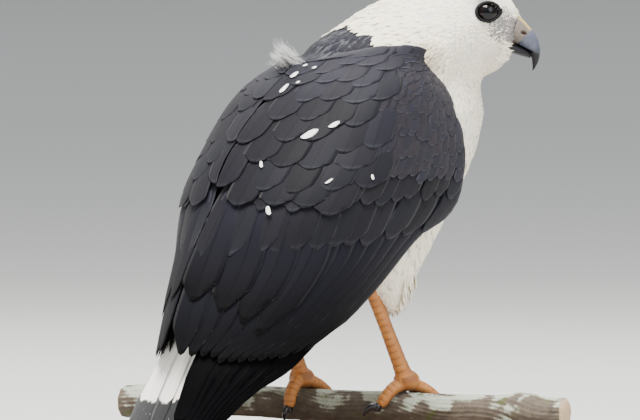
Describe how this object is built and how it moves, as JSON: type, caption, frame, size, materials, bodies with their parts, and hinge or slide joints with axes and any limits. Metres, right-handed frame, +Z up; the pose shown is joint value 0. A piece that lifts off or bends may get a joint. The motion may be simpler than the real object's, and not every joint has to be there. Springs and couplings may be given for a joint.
{
  "type": "white-necked hawk on a perch",
  "caption": "Life-size still white-necked hawk, wings folded and head turned to its right, gripping a cut branch held on a flat display stand.",
  "frame": {"origin": "centre of the display base's underside", "axes": "+Z up; the bird's body faces -Y, so its right side is at -X; the head is turned 40 degrees to its right"},
  "size_m": [0.265, 0.2572, 0.3044],
  "materials": {
    "white_feather": "matt downy feather",
    "slate_feather": "matt feather with a slight sheen",
    "black_feather": "matt flight feather",
    "tail_feather": "matt flight feather, white with a black band",
    "horn": "satin horn",
    "cere_skin": "waxy skin",
    "leg_scale": "dry scaled skin",
    "claw_horn": "polished horn",
    "eye_gloss": "wet gloss",
    "bark": "rough lichened bark",
    "stand_wood": "oiled dark wood",
    "stand_steel": "brushed"
  },
  "bodies": {
    "root": {"bill_lower": "horn", "bill_upper": "horn", "cere": "cere_skin", "claw_left_back": "claw_horn", "claw_left_inner": "claw_horn", "claw_left_middle": "claw_horn", "claw_left_outer": "claw_horn", "claw_right_back": "claw_horn", "claw_right_inner": "claw_horn", "claw_right_middle": "claw_horn", "claw_right_outer": "claw_horn", "eye_left": "eye_gloss", "eye_right": "eye_gloss", "foot_left": "leg_scale", "foot_right": "leg_scale", "head": "white_feather", "neck": "white_feather", "shank_left": "leg_scale", "shank_right": "leg_scale", "stand_base": "stand_wood", "stand_perch": "bark", "stand_rod_left": "stand_steel", "stand_rod_right": "stand_steel", "tail": "tail_feather", "thigh_left": "white_feather", "thigh_right": "white_feather", "torso": "white_feather", "wing_left_coverts": "slate_feather", "wing_left_primaries": "black_feather", "wing_left_secondaries": "slate_feather", "wing_right_coverts": "slate_feather", "wing_right_primaries": "black_feather", "wing_right_secondaries": "slate_feather"}
  },
  "joints": []
}
